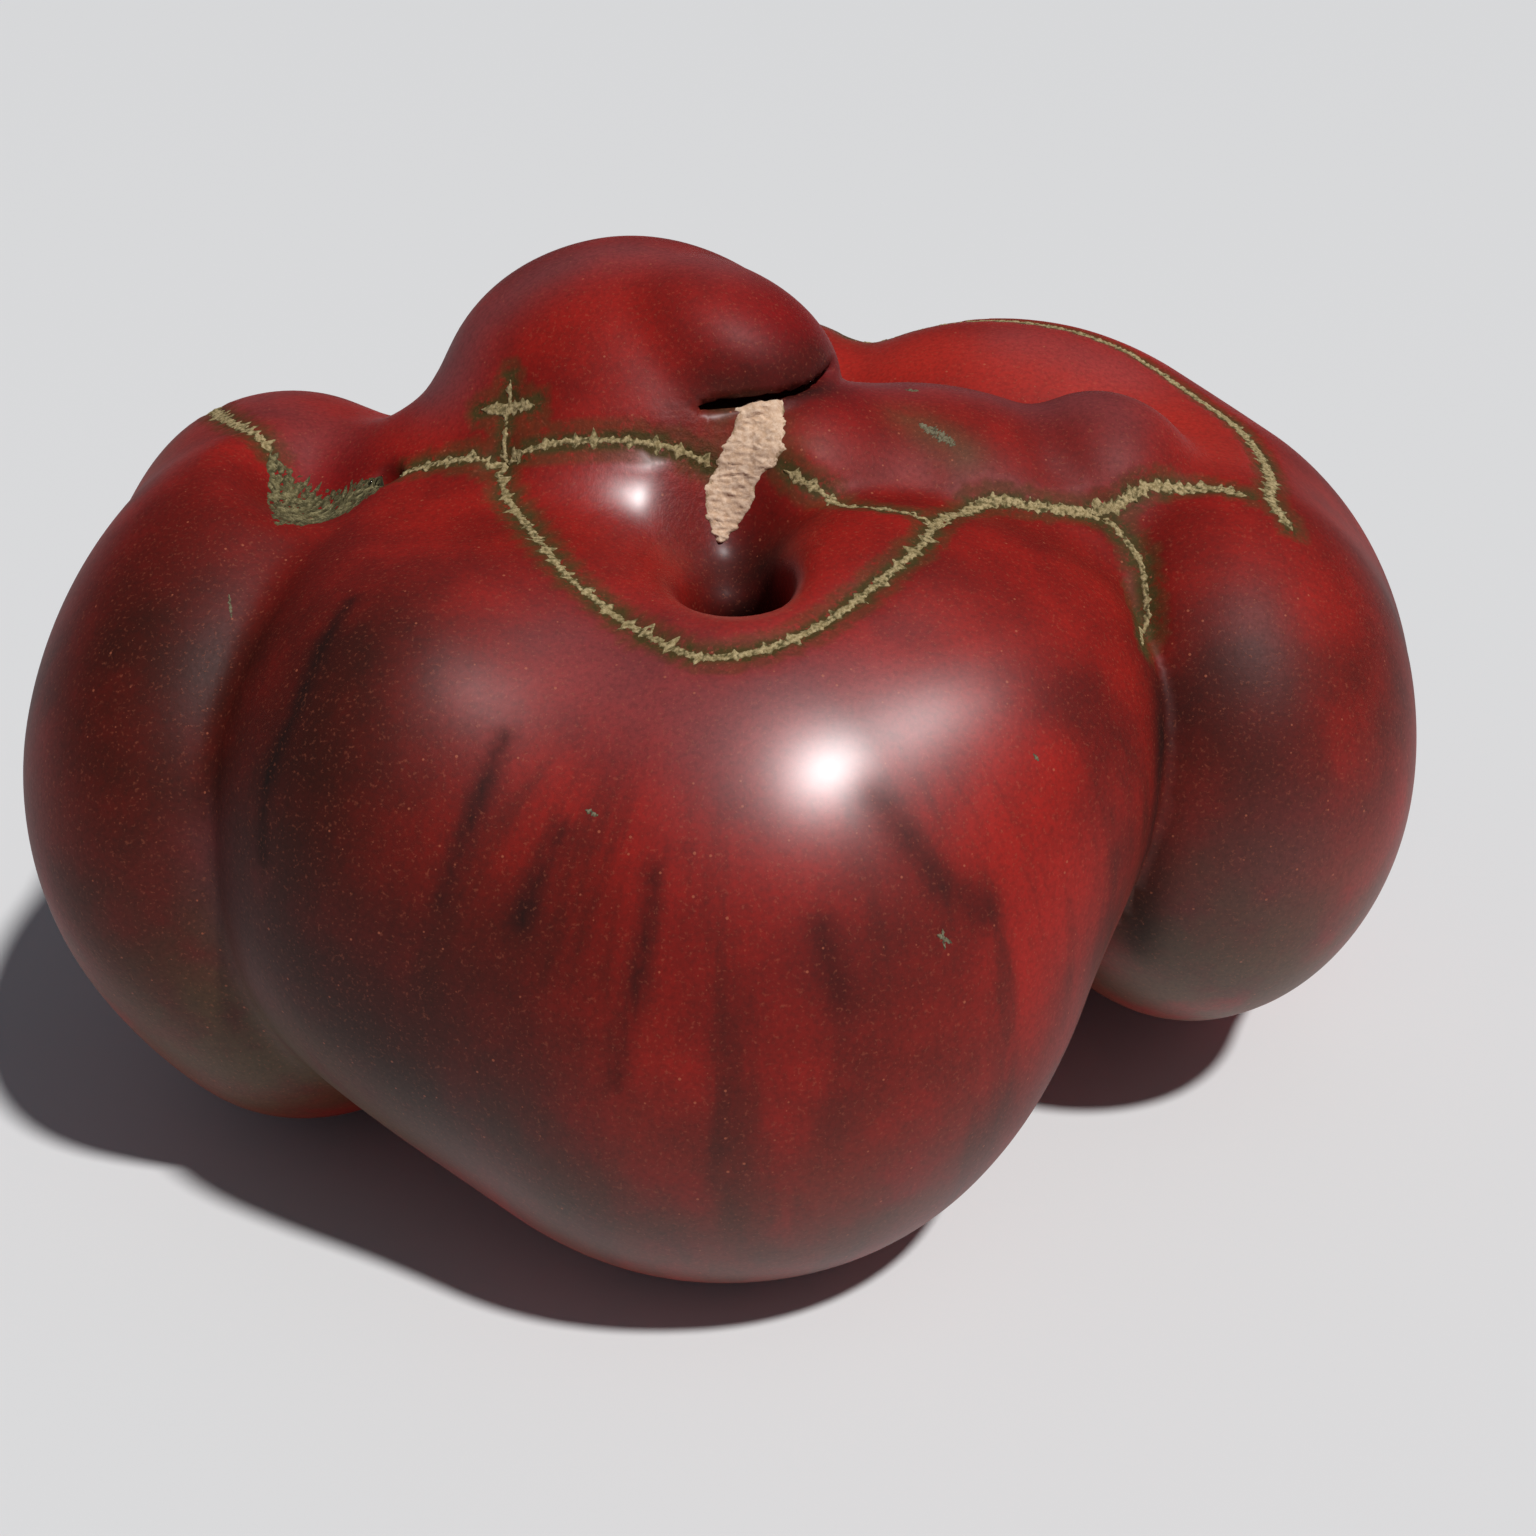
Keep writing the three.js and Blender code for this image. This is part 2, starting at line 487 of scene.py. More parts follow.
@dataclass(frozen=True)
class Stroke:
    """A soft stroke or spot of one layer on the skin, in millimetres."""

    layer_kind: StainAndPaintedLight
    points: list[Point]
    width: float
    strength: float = 1.0


JUNCTION_LEFT = (-24.4, -5.4, 69)
JUNCTION_MIDDLE = (16, -13.5, 66.5)
JUNCTION_RIGHT = (31.5, -5.2, 63.8)
JUNCTIONS = (JUNCTION_LEFT, JUNCTION_MIDDLE, JUNCTION_RIGHT)


@dataclass(frozen=True)
class Seam:
    """A corky seam in the skin: its route and how its ragged teeth grow, in millimetres."""

    name: str
    points: list[Point]
    core: float = 0.42
    tooth: float = 1.1
    pitch: float = 2.5
    foot: float = 0.68
    crest: float = 0.2
    furrow: float = 0.3

    def half_widths(self, along: np.ndarray, rng: np.random.Generator) -> np.ndarray:
        """Draws the seam's ragged edges.

        Args:
            along: The stations' distances from the seam's start.
            rng: Where the chances come from.

        Returns:
            Two rows, the half width to the left and to the right at each station.
        """
        knots = np.arange(0, along[-1] + 1, 0.35)
        draws = [rng.uniform(0.75, 1.3, len(knots)) for _ in range(2)]
        widths = self.core * np.stack([np.interp(along, knots, draw) for draw in draws])
        for pitch, height in ((self.pitch, 1.0), (1.0, 0.3)):
            place = rng.uniform(0.3, 0.9) * pitch
            while place < along[-1]:
                for side in range(2):
                    middle = place + rng.normal(0, 0.07)
                    foot = self.foot * rng.uniform(0.7, 1.3) * (0.6 + 0.4 * height)
                    rise = np.clip(1 - np.abs(along - middle) / foot, 0, 1) ** 1.1
                    reach = self.core * 0.8 + self.tooth * height * rng.uniform(0.45, 1.2)
                    widths[side] = np.maximum(widths[side], reach * rise)
                place += pitch * rng.uniform(0.7, 1.35)
        first = 1 if self.points[0] in JUNCTIONS else ramp(along, -0.1, 1.2)
        last = 1 if self.points[-1] in JUNCTIONS else ramp(along[-1] - along, -0.1, 1.2)
        return widths * first * last + 0.05


SEAMS = (
    Seam(
        "crown left",
        [(-35, -2, 66), (-31, -2.8, 67.6), (-27.6, -3.8, 68.6), JUNCTION_LEFT],
        core=0.3,
        pitch=2.2,
    ),
    Seam(
        "crown right",
        [
            JUNCTION_LEFT, (-20.5, -5.4, 70.4), (-15, -6, 71.2), (-10, -6, 70.8), (-7, -5.5, 69.7),
            (-4.6, -4.8, 68),
        ],
        core=0.24,
    ),
    Seam(
        "lens",
        [
            JUNCTION_LEFT, (-23.5, -9, 67), (-21.5, -13, 66.4), (-17.5, -21.5, 65.3), (-14.5, -24.7, 64),
            (-8.3, -31, 62.9), (-4.3, -33.6, 63), (1.4, -32.4, 63.5), (7.7, -27, 64.5), (13.7, -20, 66.5),
            JUNCTION_MIDDLE,
        ],
        core=0.36,
        pitch=2.6,
    ),
    Seam(
        "saddle left",
        [(1.8, -7, 68.8), (5, -8.3, 67.5), (10.5, -11.5, 67.2), JUNCTION_MIDDLE],
        core=0.28,
        pitch=2.4,
    ),
    Seam(
        "saddle right",
        [JUNCTION_MIDDLE, (19.5, -7.6, 65.3), (22.5, -6, 65.2), (26.5, -6, 64.5), JUNCTION_RIGHT],
        core=0.62,
        tooth=0.75,
        pitch=1.1,
    ),
    Seam(
        "end",
        [
            JUNCTION_RIGHT, (34.2, -4, 64.2), (37, -2.2, 65), (40.5, -1.6, 64.8), (43, -1.2, 64.8),
            (46.5, -2.5, 64.2),
        ],
        core=0.6,
        tooth=0.95,
        pitch=1.2,
    ),
    Seam(
        "cleft",
        [
            JUNCTION_RIGHT, (33.4, -6.1, 62.7), (35.3, -9.1, 60.8), (35.6, -12.8, 58.7), (35.4, -15.2, 57.3),
            (34.7, -19, 56.5),
        ],
        core=0.28,
        tooth=0.35,
        pitch=2.0,
    ),
    Seam(
        "back",
        [
            (10, 40, 65.5), (19, 37.5, 68), (28, 34.5, 69.4), (36, 32, 68.6), (41.5, 29.3, 67),
            (45.6, 25, 65.2), (48.6, 19, 64), (50.5, 12, 63.2), (50, 4, 63), (48.7, -2, 63.4), (50, -6.5, 62),
        ],
        core=0.6,
        tooth=0.9,
        pitch=1.8,
        crest=0.3,
    ),
    Seam(
        "star stalk",
        [JUNCTION_LEFT, (-24.1, -3.4, 70.8), (-24, -1.6, 73), (-23.7, 0, 75)],
        core=0.2,
        tooth=0.45,
        pitch=1.9,
    ),
    Seam(
        "star bar",
        [(-26.6, -0.2, 72), (-24, -1.6, 72.9), (-21.2, -2.9, 73.5)],
        core=0.6,
        tooth=0.5,
        pitch=1.3,
        foot=0.7,
    ),
    Seam(
        "shoulder",
        [(-57, 22, 62), (-55.5, 15, 65.8), (-51.5, 8, 67.5), (-47.8, 4, 66)],
        core=0.6,
        tooth=1.0,
        pitch=1.5,
    ),
)


@dataclass(frozen=True)
class Plate:
    """A raised plate of scar between two edges, each a route, in millimetres."""

    name: str
    first: list[Point]
    second: list[Point]
    rise: float
    relief: float
    ragged: float
    lanes: int
    grain: Point = (1, 1, 1)


NETTED = Plate(
    "netted_cork",
    [
        (-48, 2.3, 65.5), (-47.5, -1, 64), (-46.5, -6, 64), (-45, -11.3, 65), (-43.5, -10.3, 64.3),
        (-41.5, -8, 63.7), (-39.4, -6, 63.8), (-36, -4.2, 65.5),
    ],
    [
        (-47.8, 4.4, 66.2), (-46.6, 4, 65), (-45.5, 3.5, 64), (-44, 2.7, 63), (-42, 2, 62.9),
        (-40, 1.2, 63.6), (-38, 0.2, 64.8), (-36.2, -1.5, 65.6),
    ],
    rise=0.35,
    relief=0.7,
    ragged=0.7,
    lanes=34,
)
TORN = Plate(
    "torn_scar",
    [
        (-2.2, -2.6, 73.3), (-2.7, -3.5, 71.2), (-3.5, -4.4, 69.6), (-4.2, -5, 68), (-5.1, -5.8, 66.6),
        (-5.2, -6.5, 65), (-4.9, -7.2, 63.4), (-4, -8, 61.7),
    ],
    [
        (2.1, -1.6, 73.3), (2.1, -4.4, 71.2), (1.5, -5.9, 69.2), (-0.3, -6.1, 67.3), (-0.8, -6.6, 65.3),
        (-2.1, -7, 63.2), (-3.7, -7.9, 61.6),
    ],
    rise=0.6,
    relief=0.38,
    ragged=0.28,
    lanes=30,
    grain=(2.4, 1.2, 0.42),
)
STEM_AT = (-3, 8.5, 1)
STEM_RADIUS = 4.6
STEM_BENDS = np.linspace(0.15, math.pi - 0.15, 9)


def stem_edge(side: int) -> list[Point]:
    """Goes half way round the stem's mark.

    Args:
        side: -1 for the front half, 1 for the back half.

    Returns:
        Points along that half.
    """
    x, y, z = STEM_AT
    reach = side * STEM_RADIUS
    return [(x - STEM_RADIUS * math.cos(a), y + reach * math.sin(a), z) for a in STEM_BENDS]


STEM_SCAR = Plate(
    "stem_scar",
    stem_edge(-1),
    stem_edge(1),
    rise=0.5,
    relief=0.5,
    ragged=0.3,
    lanes=16,
)
SCABS = (
    ((15, 0.2, 70.3), (18.4, -2, 69), 0.9),
    ((14, 6.6, 71.6), (15.4, 6.4, 71.4), 0.5),
    ((15, -49.2, 45.3), (16.8, -49.7, 44.6), 0.3),
    ((15.6, -49.1, 45.8), (16, -50, 44.2), 0.2),
    ((-14.3, -44.5, 54.7), (-13.2, -44.8, 54.2), 0.35),
    ((-47.4, -19.5, 61.8), (-46.9, -21.5, 60.5), 0.2),
    ((23, -36.6, 55.3), (23.6, -36.9, 54.7), 0.26),
)

STROKES = (
    Stroke(
        StainAndPaintedLight.DARK,
        [(-35, -27, 65), (-38.5, -35, 59.5), (-41, -38, 53.5), (-41.5, -40.5, 47.5)],
        0.8,
        0.9,
    ),
    Stroke(StainAndPaintedLight.DARK, [(-36, -31, 62), (-39, -37, 55)], 2.4, 0.35),
    Stroke(StainAndPaintedLight.DARK, [(-21, -39, 58), (-23.5, -43.5, 53), (-26, -46, 47)], 1.0, 0.85),
    Stroke(StainAndPaintedLight.DARK, [(-16, -44.5, 52.5), (-19.5, -48, 46)], 1.0, 0.85),
    Stroke(StainAndPaintedLight.DARK, [(-8.5, -48, 51), (-9.5, -51.5, 44.5), (-11.5, -54, 34.5)], 0.8, 0.8),
    Stroke(StainAndPaintedLight.DARK, [(9.5, -43.5, 55), (14, -46, 50), (18.5, -45.5, 45.5)], 2.0, 0.6),
    Stroke(StainAndPaintedLight.DARK, [(5, -50.5, 47), (6.5, -52.5, 41.5)], 1.4, 0.6),
    Stroke(StainAndPaintedLight.DARK, [(-57, -22, 55), (-58, -24, 52)], 2.5, 0.6),
    Stroke(StainAndPaintedLight.DARK, [(28, -30, 56), (31, -32, 48), (31, -33, 38)], 4, 0.35),
    # Painted shade: the pit and the wall above it, darkened as if in shadow.
    Stroke(StainAndPaintedLight.DARK, [(-1.5, -14.5, 57.5), (-1.8, -12, 53)], 5.6, 1.0),
    Stroke(StainAndPaintedLight.DARK, [(-1.5, -10.5, 60), (1, -13, 61)], 2.6, 0.75),
    # Painted shade: a dark line along the fold under the crown tip, and brown on the tip's overhanging
    # underside.
    Stroke(
        StainAndPaintedLight.DARK,
        [(-6.5, -2.6, 73.5), (-2.2, -2, 73.8), (2.2, -1, 73.8), (5.6, 0.8, 74), (8.4, 3.6, 74.6)],
        1.0,
        0.9,
    ),
    Stroke(StainAndPaintedLight.BROWN, [(-4, -1.5, 75.5), (2, -1, 75.5), (7, 2, 76)], 3, 0.75),
    Stroke(StainAndPaintedLight.BROWN, [(-8, -4, 72.5)], 2.5, 0.5),
    # painted shade inside the small pore on the left
    Stroke(StainAndPaintedLight.DARK, [(-36, -1, 66)], 1.4, 1.0),
    # Painted shade: the narrow cleft where the seam runs in, and a shadow on the right lobe beside the deep
    # crease under the front lobe.
    Stroke(StainAndPaintedLight.DARK, [(32.5, -6.5, 63), (35, -10, 61.5)], 0.9, 0.9),
    Stroke(StainAndPaintedLight.DARK, [(36.5, -22, 52.5), (36, -26, 46.5), (35.8, -27, 37.5), (35, -25.5, 27)], 2.4, 0.85),
    Stroke(StainAndPaintedLight.BROWN, [(-34, -34, 60), (-37, -41, 50), (-36, -44, 38), (-30, -46, 28)], 11, 0.95),
    Stroke(StainAndPaintedLight.BROWN, [(-21, -49, 42), (-20, -52, 30), (-16, -52, 18)], 10, 0.75),
    Stroke(StainAndPaintedLight.BROWN, [(-56, -22, 57), (-57, -30, 46), (-53, -34, 32), (-46, -34, 20)], 14, 0.85),
    # brown in the crease between the left lobe and the front, partly painted shade
    Stroke(StainAndPaintedLight.BROWN, [(-48, -26, 58), (-47, -34, 48), (-46, -37, 38)], 7, 0.75),
    Stroke(StainAndPaintedLight.BROWN, [(-68, -4, 44), (-66, 8, 40)], 12, 0.7),
    Stroke(StainAndPaintedLight.BROWN, [(12, -50, 45), (12, -54, 36)], 8, 0.4),
    Stroke(StainAndPaintedLight.BROWN, [(0, -52, 20), (14, -48, 18)], 14, 0.35),
    # brown on the right lobe beside the crease under the front lobe, partly painted shade
    Stroke(StainAndPaintedLight.BROWN, [(42, -22, 54), (44, -26, 44), (44, -26, 34)], 9, 0.75),
    Stroke(StainAndPaintedLight.BROWN, [(61, -6, 53), (59, -16, 49), (57, -21, 42)], 6, 0.5),
    Stroke(StainAndPaintedLight.BROWN, [(62, 0, 48), (67, 8, 44), (69, 14, 36)], 10, 0.7),
    # painted shade on the pit's wall
    Stroke(StainAndPaintedLight.BROWN, [(-1.5, -10, 60)], 4, 0.5),
    Stroke(StainAndPaintedLight.BROWN, [(30, 50, 44), (-20, 48, 36), (60, 26, 30)], 18, 0.35),
    Stroke(StainAndPaintedLight.OLIVE, [(-60, -20, 26), (-48, -34, 16)], 12, 0.6),
    Stroke(StainAndPaintedLight.OLIVE, [(-44, -32, 30), (-36, -40, 20)], 8, 0.5),
    Stroke(StainAndPaintedLight.OLIVE, [(10, -48, 14), (-14, -48, 14)], 14, 0.3),
    Stroke(StainAndPaintedLight.OLIVE, [(40, -24, 22), (50, -18, 22), (60, -6, 22)], 14, 0.75),
    Stroke(StainAndPaintedLight.OLIVE, [(4, 43, 64), (10, 40, 66), (16, 38, 68)], 3.5, 0.8),
    Stroke(StainAndPaintedLight.OLIVE, [(-60, 24, 58), (-64, 10, 56)], 7, 0.4),
    Stroke(StainAndPaintedLight.OLIVE, [(-3, 8.5, 0)], 9, 0.7),
    Stroke(StainAndPaintedLight.OLIVE, [(-4.6, -4, 69), (-3, -2.5, 72), (3, -5, 70)], 2.2, 0.8),
    Stroke(StainAndPaintedLight.OLIVE, [(14, 1, 71), (19, -3, 69)], 2.4, 0.6),
    Stroke(StainAndPaintedLight.CRIMSON, [(1.5, 1, 76), (5, 4, 74)], 7, 1.0),
    Stroke(StainAndPaintedLight.BRIGHT, [(45, 8, 64), (41, 18, 66), (30, 22, 68), (14, 28, 65)], 6, 0.65),
    Stroke(StainAndPaintedLight.CRIMSON, [(-42, 3, 63)], 6, 0.6),
    Stroke(StainAndPaintedLight.CRAZED, [(-9.8, -8.4, 66.7)], 5, 1.0),
    Stroke(StainAndPaintedLight.CRAZED, [(-6, -5.2, 69)], 3, 0.8),
    Stroke(StainAndPaintedLight.POLISH, [(3.9, -40.5, 59)], 13, 1.0),
    Stroke(StainAndPaintedLight.POLISH, [(-9.8, -8.3, 66.7)], 7, 1.0),
    Stroke(StainAndPaintedLight.POLISH, [(-20, -30, 63), (12, -36, 61)], 9, 0.6),
    Stroke(StainAndPaintedLight.POLISH, [(-20, -46, 16), (12, -48, 16)], 13, 0.4),
    Stroke(StainAndPaintedLight.POLISH, [(44, -22, 26), (60, -8, 26)], 13, 0.4),
    Stroke(StainAndPaintedLight.POLISH, [(-58, -20, 24), (-48, -30, 18)], 13, 0.1),
    # Painted sheen: the pale purplish reflection on the front round the highlight, on the rims of the crown,
    # saddle, left shoulder and back, and on the side lobes.
    Stroke(StainAndPaintedLight.BLOOM, [(-14, -33, 62.5), (-4, -39, 60), (8, -36, 61)], 6, 0.38),
    Stroke(StainAndPaintedLight.BLOOM, [(-29, 5, 73), (-27, 8, 78), (-20, 10, 82), (-12, 11, 84), (-4, 9, 83.5)], 4.5, 0.5),
    Stroke(StainAndPaintedLight.BLOOM, [(8, 8, 71), (17, 9, 71.5), (26, 8, 71), (34, 5, 69)], 4.5, 0.45),
    Stroke(StainAndPaintedLight.BLOOM, [(-52, 16, 66), (-45, 9, 66.6)], 5, 0.3),
    Stroke(StainAndPaintedLight.BLOOM, [(48, -22, 38), (56, -14, 32)], 8, 0.3),
    Stroke(StainAndPaintedLight.BLOOM, [(-30.6, 11, 73.8), (-31.2, 7.5, 71.8)], 3.5, 0.6),
    Stroke(StainAndPaintedLight.BLOOM, [(-46, -34, 44), (-45, -38, 34)], 4, 0.3),
    Stroke(StainAndPaintedLight.BLOOM, [(28, 27, 69), (38, 24, 67)], 5, 0.35),
)


# ------------------------------------------------------------------------------------ shader bench


class Wire:
    """What comes out of a shader socket, so that maths on it is written as an expression."""

    def __init__(self, bench: "Bench", socket: bpy.types.NodeSocket | None) -> None:
        """Holds a socket and the bench that its node stands on."""
        self.bench = bench
        self.socket = socket

    def maths(self, operation: str, *values: "Wire | float") -> "Wire":
        """Adds a Math node.

        Args:
            operation: What the node does.
            values: What it works on, in order.

        Returns:
            The result.
        """
        return self.bench.node("ShaderNodeMath", {"operation": operation}, dict(enumerate(values)))

    def __add__(self, other: "Wire | float") -> "Wire":
        """Adds."""
        return self.maths("ADD", self, other)

    def __radd__(self, other: float) -> "Wire":
        """Adds, with the number first."""
        return self.maths("ADD", other, self)

    def __sub__(self, other: "Wire | float") -> "Wire":
        """Subtracts."""
        return self.maths("SUBTRACT", self, other)

    def __rsub__(self, other: float) -> "Wire":
        """Subtracts from a number."""
        return self.maths("SUBTRACT", other, self)

    def __mul__(self, other: "Wire | float") -> "Wire":
        """Multiplies."""
        return self.maths("MULTIPLY", self, other)

    def __rmul__(self, other: float) -> "Wire":
        """Multiplies, with the number first."""
        return self.maths("MULTIPLY", other, self)

    def rise(self, low: float, high: float) -> "Wire":
        """Rises smoothly from 0 where the value is low to 1 where it is high.

        Args:
            low: Where the rise starts.
            high: Where it ends. It may be below low, for a fall.

        Returns:
            The share.
        """
        inputs = {"Value": self, "From Min": low, "From Max": high}
        return self.bench.node("ShaderNodeMapRange", {"interpolation_type": "SMOOTHSTEP"}, inputs)


class Bench:
    """A material in the making, with the nodes that its finish adds."""

    def __init__(self, name: str) -> None:
        """Starts a material.

        Args:
            name: The material's name.
        """
        self.material = bpy.data.materials.new(name)
        self.material.use_nodes = True
        self.tree = self.material.node_tree
        self.tree.nodes.clear()

    def node(self, kind: str, settings: dict, inputs: dict, output: int | str = 0) -> Wire:
        """Adds a node.

        Args:
            kind: The node's type.
            settings: What is chosen on the node, such as an operation.
            inputs: Values or wires for its sockets, by name or number.
            output: The socket that the answer is read from.

        Returns:
            What comes out of that socket.
        """
        made = self.tree.nodes.new(kind)
        for key, value in settings.items():
            setattr(made, key, value)
        for key, value in inputs.items():
            if isinstance(value, Wire):
                self.tree.links.new(value.socket, made.inputs[key])
            else:
                made.inputs[key].default_value = value
        return Wire(self, made.outputs[output] if made.outputs else None)

    def place(self) -> Wire:
        """The point on the piece, in millimetres."""
        point = self.node("ShaderNodeTexCoord", {}, {}, "Object")
        return self.node("ShaderNodeVectorMath", {"operation": "SCALE"}, {0: point, "Scale": 1 / MM})

    def layer(self, name: str) -> Wire:
        """A layer of numbers that the mesh holds.

        Args:
            name: The layer's name.

        Returns:
            The number at the point.
        """
        return self.node("ShaderNodeAttribute", {"attribute_name": name}, {}, "Fac")

    def grain(
        self, place: Wire, size: float, detail: float = 3, rough: float = 0.5, stretch: Point = (1, 1, 1)
    ) -> Wire:
        """Cloudy noise.

        Args:
            place: Where it is read, in millimetres.
            size: The size of its clouds, in millimetres.
            detail: How many finer layers it has.
            rough: How strong they are.
            stretch: How much longer the clouds are along each axis.

        Returns:
            Numbers round 0.5.
        """
        scale = tuple(1 / (size * s) for s in stretch)
        spot = self.node("ShaderNodeVectorMath", {"operation": "MULTIPLY"}, {0: place, 1: scale})
        inputs = {"Vector": spot, "Scale": 1.0, "Detail": detail, "Roughness": rough}
        return self.node("ShaderNodeTexNoise", {"noise_dimensions": "3D"}, inputs)

    def mix(self, share: Wire | float, first: Wire | Colour, second: Wire | Colour) -> Wire:
        """Mixes two colours.

        Args:
            share: How much of the second there is.
            first: The colour where share is 0.
            second: The colour where share is 1.

        Returns:
            The mixed colour.
        """
        return self.node("ShaderNodeMix", {"data_type": "RGBA"}, {0: share, 6: first, 7: second}, 2)

    def surface(self, inputs: dict) -> bpy.types.Material:
        """Ends the material with a surface shader.

        Args:
            inputs: Values or wires for the shader's sockets.

        Returns:
            The material.
        """
        shader = self.node("ShaderNodeBsdfPrincipled", {}, inputs)
        self.node("ShaderNodeOutputMaterial", {}, {"Surface": shader})
        return self.material


# --------------------------------------------------------------------------------------- finishes


@dataclass(frozen=True)
class SkinFinish:
    """Ripe tomato skin: waxy red over brown, with dark streaks, olive shoulders and pale specks, painted
    shade in the pit, folds and creases, and a painted sheen on the rims.
    """

    red: Colour = tint(158, 26, 17)
    deep: Colour = tint(116, 18, 12)
    # brown and dark also serve as painted shade in the pit, the folds and the creases
    brown: Colour = tint(54, 18, 10)
    olive: Colour = tint(88, 70, 42)
    dark: Colour = tint(22, 9, 5)
    crimson: Colour = tint(122, 8, 12)
    bright: Colour = tint(184, 46, 34)
    moss: Colour = tint(66, 58, 24)
    # painted sheen: the colour of the reflection painted on the rims
    painted_sheen: Colour = tint(128, 74, 76)
    speck: Colour = tint(178, 98, 70)
    roughness: float = 0.55
    fan_from: Point = (2, 25, 0)
    fan_count: float = 6.5
    fall_rate: float = 0.045

    def streaks(self, bench: Bench, place: Wire) -> Wire:
        """Long soft streaks that run down the lobes from the seams.

        Args:
            bench: The material in the making.
            place: The point, in millimetres.

        Returns:
            How much of a streak the point is in.
        """
        vector, add = "ShaderNodeVectorMath", {"operation": "MULTIPLY_ADD"}
        out = bench.node(vector, add, {0: place, 1: (1, 1, 0), 2: self.fan_from})
        ring = bench.node(vector, {"operation": "NORMALIZE"}, {0: out})
        fan = bench.node(vector, {"operation": "SCALE"}, {0: ring, "Scale": self.fan_count})
        fall = bench.node(vector, add, {0: place, 1: (0, 0, self.fall_rate), 2: fan})
        inputs = {"Vector": fall, "Scale": 1.0, "Detail": 4.0, "Roughness": 0.55}
        return bench.node("ShaderNodeTexNoise", {"noise_dimensions": "3D"}, inputs).rise(0.46, 0.72)

    def specks(self, bench: Bench, place: Wire, spacing: float, size: float) -> Wire:
        """Tiny pale breathing pores.

        Args:
            bench: The material in the making.
            place: The point, in millimetres.
            spacing: How far apart they are, in millimetres.
            size: How wide the largest is, as a share of the spacing.

        Returns:
            How much of a speck the point is in.
        """
        inputs = {"Vector": place, "Scale": 1 / spacing, "Randomness": 1.0}
        near = bench.node("ShaderNodeTexVoronoi", {}, inputs, "Distance")
        chance = bench.node("ShaderNodeTexVoronoi", {}, inputs, "Color")
        lot = bench.node("ShaderNodeSeparateColor", {}, {0: chance}, 0)
        return (near - lot.rise(0.35, 1.0) * size).rise(0.03, -0.03)

    def material(self) -> bpy.types.Material:
        """Makes the material."""
        bench = Bench("tomato_skin")
        place = bench.place()
        broad = bench.grain(place, 26, 3)
        cloud = bench.grain(place, 7, 4, 0.6)
        fine = bench.grain(place, 0.45, 3, 0.6)
        colour = bench.mix((broad * 0.6 + cloud * 0.4).rise(0.36, 0.64), self.red, self.deep)
        colour = bench.mix(bench.layer("crimson"), colour, self.crimson)
        # brown patches, and painted shade under the crown tip, in the pit and in the creases beside the front
        # lobe
        colour = bench.mix(bench.layer("brown") * (cloud * 0.5 + 0.75), colour, self.brown)
        colour = bench.mix(bench.layer("bright"), colour, self.bright)
        streak = self.streaks(bench, place) * bench.layer("streaky")
        colour = bench.mix(streak * 0.6, colour, self.brown)
        colour = bench.mix(bench.layer("olive") * cloud.rise(0.2, 0.6), colour, self.olive)
        # dark streaks, and painted shade in the pit, under the crown tip, in the left pore, in the cleft and
        # beside the front crease
        colour = bench.mix(bench.layer("dark") * (cloud * 0.6 + 0.65), colour, self.dark)
        halo = bench.layer("halo") * bench.grain(place, 0.9, 3, 0.7).rise(0.2, 0.5)
        colour = bench.mix(halo * 0.95, colour, self.moss)
        # painted sheen on the rims and round the front highlight, kept off the seam halos
        colour = bench.mix(bench.layer("painted_sheen") * (1 - halo), colour, self.painted_sheen)
        colour = bench.mix(fine.rise(0.35, 0.75) * 0.28, colour, self.dark)
        dust = bench.grain(place, 0.32, 2, 0.5).rise(0.56, 0.78)
        colour = bench.mix(dust * 0.22, colour, self.speck)
        dots = self.specks(bench, place, 1.3, 0.1) + self.specks(bench, place, 0.7, 0.1) * 0.5
        colour = bench.mix(dots * 0.55, colour, self.speck)
        rough = self.roughness - 0.06 + fine * 0.12 + halo * 0.2 + bench.layer("dark") * 0.15
        coat = bench.layer("polish") * (1 - halo) * (1 - bench.layer("dark"))
        ripple = bench.grain(place, 0.7, 4, 0.6)
        wrinkles = bench.grain(place, 0.8, 3, 0.7, (1, 2.2, 1)) * bench.layer("crazed") * 24
        height = ripple * 0.5 + fine * 0.5 + dust * 0.3 + dots * 0.4 + wrinkles
        bump = bench.node("ShaderNodeBump", {}, {"Strength": 0.25, "Distance": 0.1 * MM, "Height": height})
        return bench.surface({
            "Base Color": colour,
            "Roughness": rough,
            "Normal": bump,
            "Specular IOR Level": 0.2,
            "Coat Weight": coat,
            "Coat Roughness": 0.36,
            "Coat IOR": 1.7,
        })


